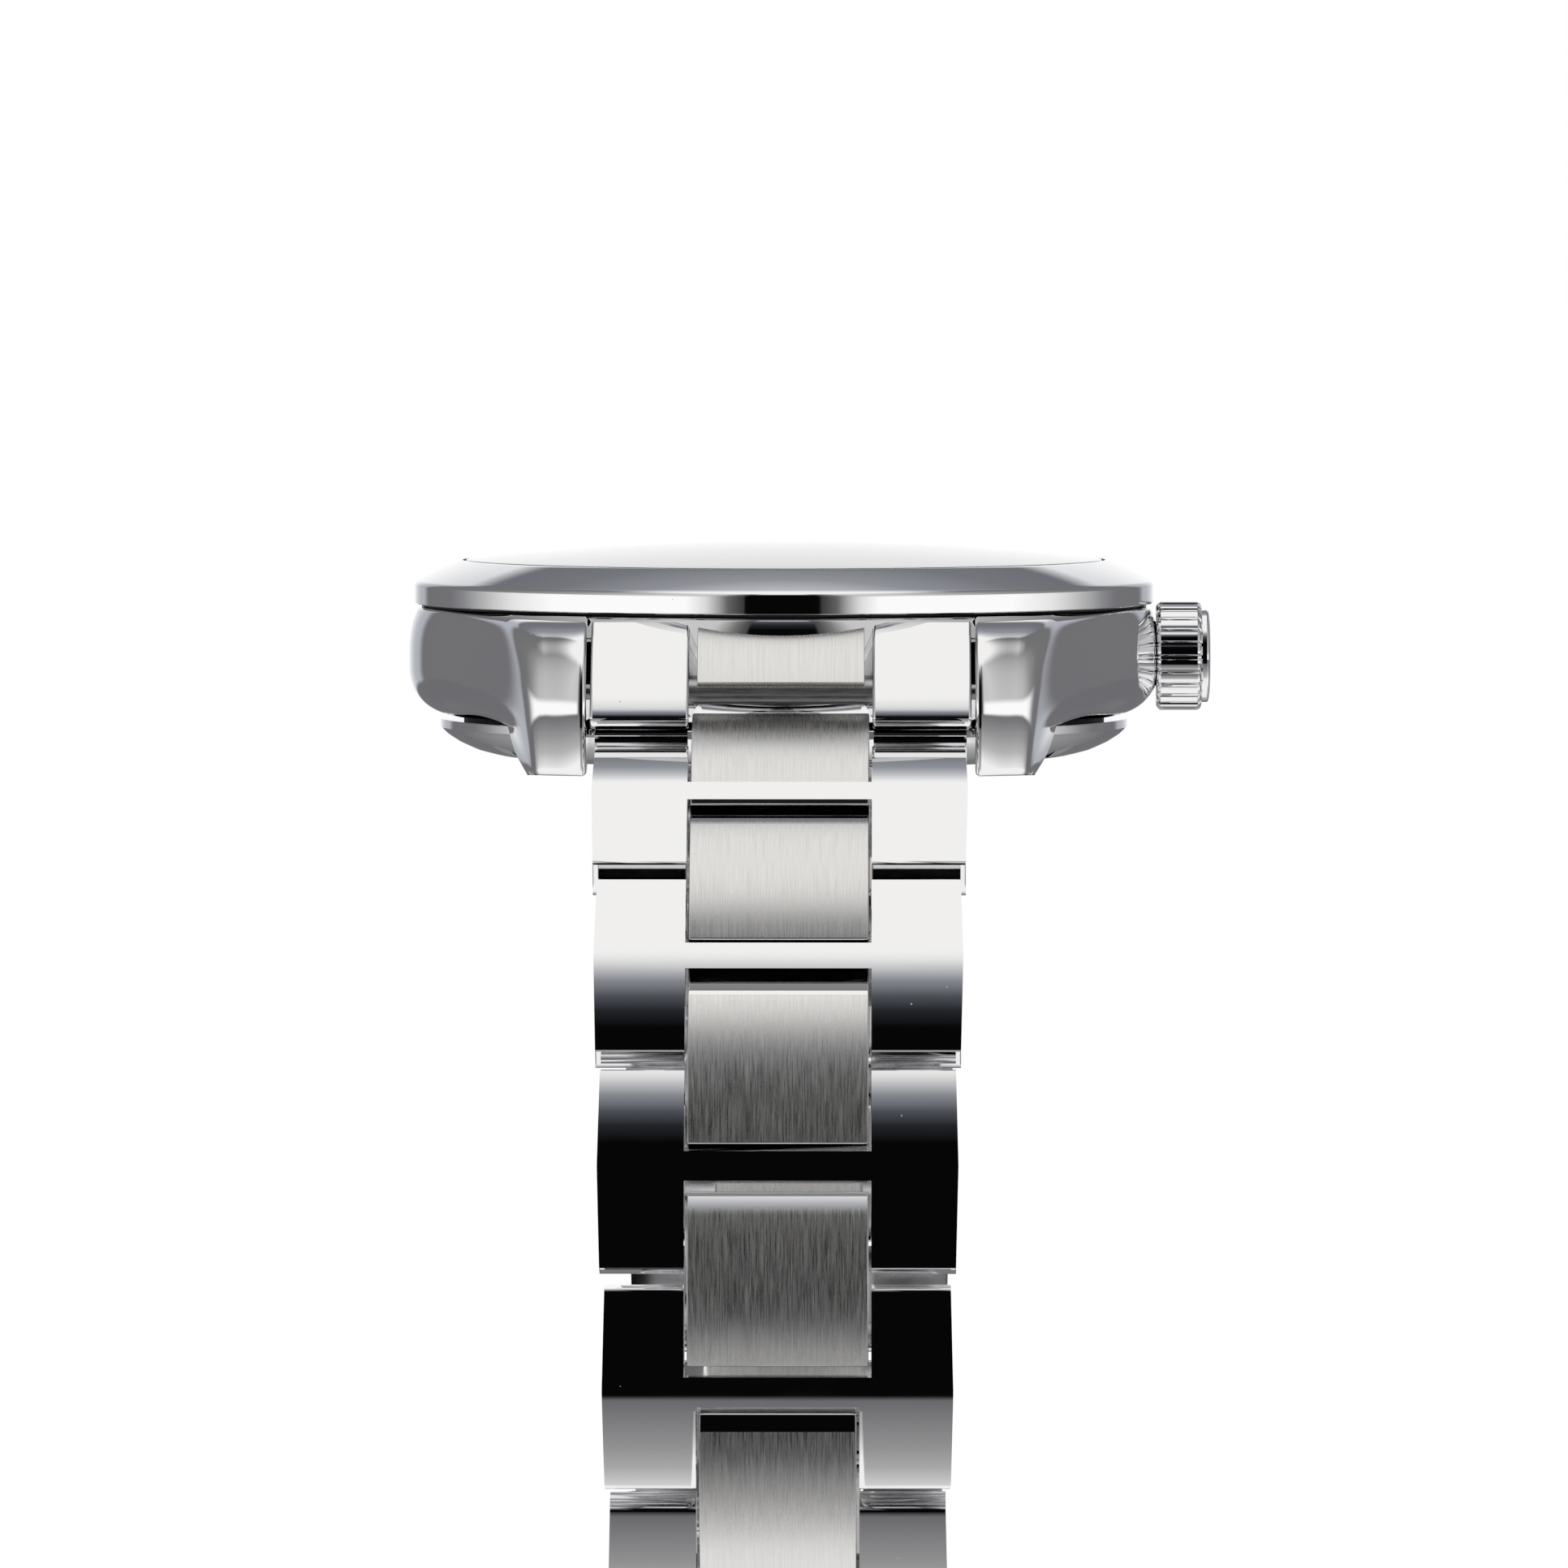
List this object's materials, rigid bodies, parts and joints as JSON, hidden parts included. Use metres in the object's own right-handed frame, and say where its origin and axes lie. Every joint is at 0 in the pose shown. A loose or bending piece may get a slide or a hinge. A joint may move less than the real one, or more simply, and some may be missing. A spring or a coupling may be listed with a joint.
{
  "type": "wristwatch with link bracelet",
  "caption": "Round steel wristwatch with a domed crystal, fluted crown and tapered bracelet of hinged H-shaped and centre links, closed by a folding clasp.",
  "frame": {"origin": "centre of the flat face of the case back", "axes": "+Z out through the dial and crystal, +X through the crown at 3 o'clock, +Y towards 12 o'clock; the bracelet loop hangs to -Z"},
  "size_m": [0.0424, 0.0864, 0.0715],
  "materials": {
    "polished_steel": "polished stainless steel",
    "brushed_steel": "line-brushed stainless steel",
    "sapphire": "clear, polished",
    "gasket": "moulded",
    "dial_silver": "sunray silver lacquer",
    "date_white": "matt white print",
    "brass_plate": "rhodium and gilt plated brass",
    "holder_plastic": "moulded",
    "pin_steel": "ground"
  },
  "bodies": {
    "case": {"case_body": "polished_steel", "bezel": "polished_steel", "crystal": "sapphire", "crystal_gasket": "gasket", "chapter_ring": "brushed_steel", "dial": "dial_silver", "hour_markers": "polished_steel", "movement_holder": "holder_plastic", "main_plate": "brass_plate", "movement_bridges": "brass_plate", "case_back": "polished_steel", "case_back_gasket": "gasket", "crown_tube": "pin_steel", "spring_bars": "pin_steel", "end_link_6": "polished_steel", "end_link_12": "polished_steel"},
    "setting_lever": {"setting_lever": "pin_steel"},
    "crown": {"crown": "polished_steel", "crown_stem": "pin_steel"},
    "hour_hand": {"hour_hand": "polished_steel"},
    "minute_hand": {"minute_hand": "polished_steel"},
    "seconds_hand": {"seconds_hand": "polished_steel"},
    "date_disc": {"date_disc": "date_white"},
    "rotor": {"rotor": "brushed_steel"},
    "balance_wheel": {"balance_wheel": "brass_plate"},
    "centre_link_6_1": {"centre_link_6_1": "brushed_steel"},
    "h_link_6_1": {"h_link_6_1": "polished_steel"},
    "centre_link_6_2": {"centre_link_6_2": "brushed_steel"},
    "h_link_6_2": {"h_link_6_2": "polished_steel"},
    "centre_link_6_3": {"centre_link_6_3": "brushed_steel"},
    "h_link_6_3": {"h_link_6_3": "polished_steel"},
    "centre_link_6_4": {"centre_link_6_4": "brushed_steel"},
    "h_link_6_4": {"h_link_6_4": "polished_steel"},
    "centre_link_6_5": {"centre_link_6_5": "brushed_steel"},
    "h_link_6_5": {"h_link_6_5": "polished_steel"},
    "centre_link_6_6": {"centre_link_6_6": "brushed_steel"},
    "h_link_6_6": {"h_link_6_6": "polished_steel"},
    "centre_link_6_7": {"centre_link_6_7": "brushed_steel"},
    "h_link_6_7": {"h_link_6_7": "polished_steel"},
    "clasp_link": {"clasp_link": "polished_steel"},
    "clasp_cover": {"clasp_cover": "brushed_steel", "clasp_pins": "pin_steel"},
    "clasp_button_left": {"clasp_button_left": "polished_steel"},
    "clasp_button_right": {"clasp_button_right": "polished_steel"},
    "clasp_blade_long": {"clasp_blade_long": "brushed_steel"},
    "clasp_blade_short": {"clasp_blade_short": "brushed_steel"},
    "centre_link_12_1": {"centre_link_12_1": "brushed_steel"},
    "h_link_12_1": {"h_link_12_1": "polished_steel"},
    "centre_link_12_2": {"centre_link_12_2": "brushed_steel"},
    "h_link_12_2": {"h_link_12_2": "polished_steel"},
    "centre_link_12_3": {"centre_link_12_3": "brushed_steel"},
    "h_link_12_3": {"h_link_12_3": "polished_steel"},
    "centre_link_12_4": {"centre_link_12_4": "brushed_steel"},
    "h_link_12_4": {"h_link_12_4": "polished_steel"},
    "centre_link_12_5": {"centre_link_12_5": "brushed_steel"},
    "h_link_12_5": {"h_link_12_5": "polished_steel"},
    "centre_link_12_6": {"centre_link_12_6": "brushed_steel"},
    "h_link_12_6": {"h_link_12_6": "polished_steel"},
    "centre_link_12_7": {"centre_link_12_7": "brushed_steel"},
    "h_link_12_7": {"h_link_12_7": "polished_steel"}
  },
  "joints": [
    {"name": "crown_pull", "type": "slide", "parent": "case", "child": "setting_lever", "axis": [1, 0, 0], "range_m": [0, 0.0015]},
    {"name": "crown_turn", "type": "hinge", "parent": "setting_lever", "child": "crown", "pos_m": [0.0195, 0, 0.0054], "axis": [1, 0, 0], "continuous": true},
    {"name": "minute_hand_turn", "type": "hinge", "parent": "case", "child": "minute_hand", "pos_m": [0, 0, 0.0078], "axis": [0, 0, -1], "continuous": true},
    {"name": "hour_hand_turn", "type": "hinge", "parent": "case", "child": "hour_hand", "pos_m": [0, 0, 0.0074], "axis": [0, 0, -1], "continuous": true},
    {"name": "seconds_hand_turn", "type": "hinge", "parent": "case", "child": "seconds_hand", "pos_m": [0, 0, 0.0081], "axis": [0, 0, -1], "continuous": true},
    {"name": "date_disc_turn", "type": "hinge", "parent": "case", "child": "date_disc", "pos_m": [0, 0, 0.0064], "axis": [0, 0, -1], "continuous": true},
    {"name": "rotor_swing", "type": "hinge", "parent": "case", "child": "rotor", "pos_m": [0, 0, 0.0016], "axis": [0, 0, 1], "continuous": true},
    {"name": "balance_swing", "type": "hinge", "parent": "case", "child": "balance_wheel", "pos_m": [-0.008, 0.0005, 0.0035], "axis": [0, 0, 1], "range_deg": [-270, 270]},
    {"name": "centre_link_6_1_hinge", "type": "hinge", "parent": "case", "child": "centre_link_6_1", "pos_m": [0, -0.021, 0.0015], "axis": [-1, 0, 0], "range_deg": [0, 16]},
    {"name": "h_link_6_1_hinge", "type": "hinge", "parent": "centre_link_6_1", "child": "h_link_6_1", "pos_m": [0, -0.0258, -0.00049], "axis": [-1, 0, 0], "range_deg": [0, 16]},
    {"name": "centre_link_6_2_hinge", "type": "hinge", "parent": "h_link_6_1", "child": "centre_link_6_2", "pos_m": [0, -0.03044, -0.00354], "axis": [-1, 0, 0], "range_deg": [0, 16]},
    {"name": "h_link_6_2_hinge", "type": "hinge", "parent": "centre_link_6_2", "child": "h_link_6_2", "pos_m": [0, -0.03416, -0.00718], "axis": [-1, 0, 0], "range_deg": [0, 16]},
    {"name": "centre_link_6_3_hinge", "type": "hinge", "parent": "h_link_6_2", "child": "centre_link_6_3", "pos_m": [0, -0.03733, -0.01173], "axis": [-1, 0, 0], "range_deg": [0, 16]},
    {"name": "h_link_6_3_hinge", "type": "hinge", "parent": "centre_link_6_3", "child": "h_link_6_3", "pos_m": [0, -0.0395, -0.01646], "axis": [-1, 0, 0], "range_deg": [0, 16]},
    {"name": "centre_link_6_4_hinge", "type": "hinge", "parent": "h_link_6_3", "child": "centre_link_6_4", "pos_m": [0, -0.04091, -0.02183], "axis": [-1, 0, 0], "range_deg": [0, 16]},
    {"name": "h_link_6_4_hinge", "type": "hinge", "parent": "centre_link_6_4", "child": "h_link_6_4", "pos_m": [0, -0.04133, -0.02701], "axis": [-1, 0, 0], "range_deg": [0, 16]},
    {"name": "centre_link_6_5_hinge", "type": "hinge", "parent": "h_link_6_4", "child": "centre_link_6_5", "pos_m": [0, -0.04081, -0.03253], "axis": [-1, 0, 0], "range_deg": [0, 16]},
    {"name": "h_link_6_5_hinge", "type": "hinge", "parent": "centre_link_6_5", "child": "h_link_6_5", "pos_m": [0, -0.03943, -0.03755], "axis": [-1, 0, 0], "range_deg": [0, 16]},
    {"name": "centre_link_6_6_hinge", "type": "hinge", "parent": "h_link_6_5", "child": "centre_link_6_6", "pos_m": [0, -0.03704, -0.04256], "axis": [-1, 0, 0], "range_deg": [0, 16]},
    {"name": "h_link_6_6_hinge", "type": "hinge", "parent": "centre_link_6_6", "child": "h_link_6_6", "pos_m": [0, -0.03401, -0.04679], "axis": [-1, 0, 0], "range_deg": [0, 16]},
    {"name": "centre_link_6_7_hinge", "type": "hinge", "parent": "h_link_6_6", "child": "centre_link_6_7", "pos_m": [0, -0.03005, -0.05067], "axis": [-1, 0, 0], "range_deg": [0, 16]},
    {"name": "h_link_6_7_hinge", "type": "hinge", "parent": "centre_link_6_7", "child": "h_link_6_7", "pos_m": [0, -0.02576, -0.0536], "axis": [-1, 0, 0], "range_deg": [0, 16]},
    {"name": "clasp_link_hinge", "type": "hinge", "parent": "h_link_6_7", "child": "clasp_link", "pos_m": [0, -0.0207, -0.05589], "axis": [-1, 0, 0], "range_deg": [0, 16]},
    {"name": "clasp_cover_hinge", "type": "hinge", "parent": "clasp_link", "child": "clasp_cover", "pos_m": [0, -0.01566, -0.05717], "axis": [-1, 0, 0], "range_deg": [0, 16]},
    {"name": "clasp_button_left_push", "type": "slide", "parent": "clasp_cover", "child": "clasp_button_left", "axis": [1, 0, 0], "range_m": [0, 0.0007], "stiffness_N_per_m": 300, "springref_m": -0.0005},
    {"name": "clasp_button_right_push", "type": "slide", "parent": "clasp_cover", "child": "clasp_button_right", "axis": [-1, 0, 0], "range_m": [0, 0.0007], "stiffness_N_per_m": 300, "springref_m": -0.0005},
    {"name": "blade_long_hinge", "type": "hinge", "parent": "clasp_cover", "child": "clasp_blade_long", "pos_m": [0, 0.0155, -0.05737], "axis": [-1, 0, 0], "range_deg": [0, 60]},
    {"name": "blade_short_hinge", "type": "hinge", "parent": "clasp_blade_long", "child": "clasp_blade_short", "pos_m": [0, -0.01136, -0.05737], "axis": [1, 0, 0], "range_deg": [0, 90]},
    {"name": "centre_link_12_1_hinge", "type": "hinge", "parent": "case", "child": "centre_link_12_1", "pos_m": [0, 0.021, 0.0015], "axis": [1, 0, 0], "range_deg": [0, 16]},
    {"name": "h_link_12_1_hinge", "type": "hinge", "parent": "centre_link_12_1", "child": "h_link_12_1", "pos_m": [0, 0.0258, -0.00049], "axis": [1, 0, 0], "range_deg": [0, 16]},
    {"name": "centre_link_12_2_hinge", "type": "hinge", "parent": "h_link_12_1", "child": "centre_link_12_2", "pos_m": [0, 0.03044, -0.00354], "axis": [1, 0, 0], "range_deg": [0, 16]},
    {"name": "h_link_12_2_hinge", "type": "hinge", "parent": "centre_link_12_2", "child": "h_link_12_2", "pos_m": [0, 0.03416, -0.00718], "axis": [1, 0, 0], "range_deg": [0, 16]},
    {"name": "centre_link_12_3_hinge", "type": "hinge", "parent": "h_link_12_2", "child": "centre_link_12_3", "pos_m": [0, 0.03733, -0.01173], "axis": [1, 0, 0], "range_deg": [0, 16]},
    {"name": "h_link_12_3_hinge", "type": "hinge", "parent": "centre_link_12_3", "child": "h_link_12_3", "pos_m": [0, 0.0395, -0.01646], "axis": [1, 0, 0], "range_deg": [0, 16]},
    {"name": "centre_link_12_4_hinge", "type": "hinge", "parent": "h_link_12_3", "child": "centre_link_12_4", "pos_m": [0, 0.04091, -0.02183], "axis": [1, 0, 0], "range_deg": [0, 16]},
    {"name": "h_link_12_4_hinge", "type": "hinge", "parent": "centre_link_12_4", "child": "h_link_12_4", "pos_m": [0, 0.04133, -0.02701], "axis": [1, 0, 0], "range_deg": [0, 16]},
    {"name": "centre_link_12_5_hinge", "type": "hinge", "parent": "h_link_12_4", "child": "centre_link_12_5", "pos_m": [0, 0.04081, -0.03253], "axis": [1, 0, 0], "range_deg": [0, 16]},
    {"name": "h_link_12_5_hinge", "type": "hinge", "parent": "centre_link_12_5", "child": "h_link_12_5", "pos_m": [0, 0.03943, -0.03755], "axis": [1, 0, 0], "range_deg": [0, 16]},
    {"name": "centre_link_12_6_hinge", "type": "hinge", "parent": "h_link_12_5", "child": "centre_link_12_6", "pos_m": [0, 0.03704, -0.04256], "axis": [1, 0, 0], "range_deg": [0, 16]},
    {"name": "h_link_12_6_hinge", "type": "hinge", "parent": "centre_link_12_6", "child": "h_link_12_6", "pos_m": [0, 0.03401, -0.04679], "axis": [1, 0, 0], "range_deg": [0, 16]},
    {"name": "centre_link_12_7_hinge", "type": "hinge", "parent": "h_link_12_6", "child": "centre_link_12_7", "pos_m": [0, 0.03005, -0.05067], "axis": [1, 0, 0], "range_deg": [0, 16]},
    {"name": "h_link_12_7_hinge", "type": "hinge", "parent": "centre_link_12_7", "child": "h_link_12_7", "pos_m": [0, 0.02576, -0.0536], "axis": [1, 0, 0], "range_deg": [0, 16]}
  ],
  "couplings": [
    {"joint": "hour_hand_turn", "follows": "minute_hand_turn", "ratio": 0.083333},
    {"joint": "blade_short_hinge", "follows": "blade_long_hinge", "ratio": 1.5}
  ]
}
